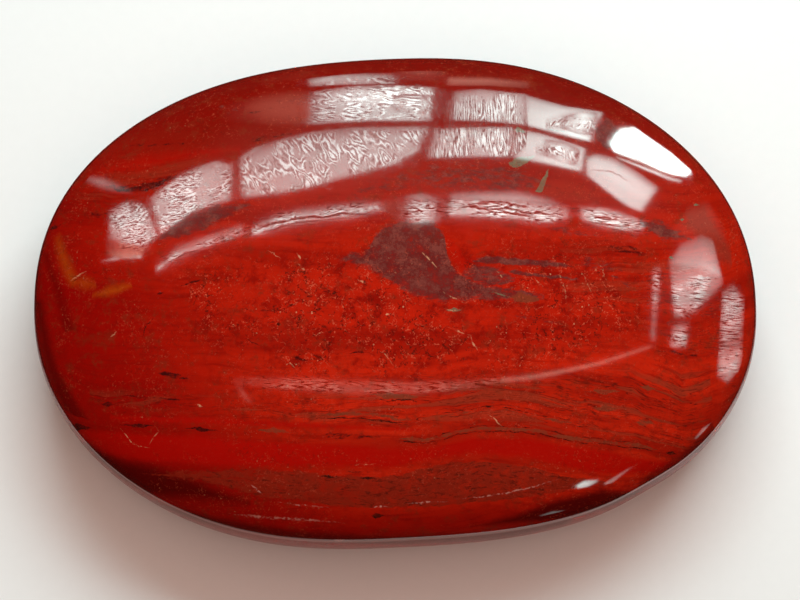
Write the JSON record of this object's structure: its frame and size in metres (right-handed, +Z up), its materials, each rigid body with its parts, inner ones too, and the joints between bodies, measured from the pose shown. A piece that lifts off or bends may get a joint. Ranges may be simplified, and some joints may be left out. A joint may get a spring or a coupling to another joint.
{
  "type": "snakeskin jasper palm stone",
  "caption": "Oval palm stone of polished red banded jasper, gently domed on top and flattened beneath, to hold in the hand or lay on a surface.",
  "frame": {"origin": "middle of the flat base, under the middle of the oval", "axes": "+X along the length of the oval, +Y across its width, +Z up through the domed top"},
  "size_m": [0.068, 0.0464, 0.018],
  "materials": {
    "jasper": "high polish, opaque banded red stone"
  },
  "bodies": {
    "root": {"palm_stone": "jasper"}
  },
  "joints": []
}
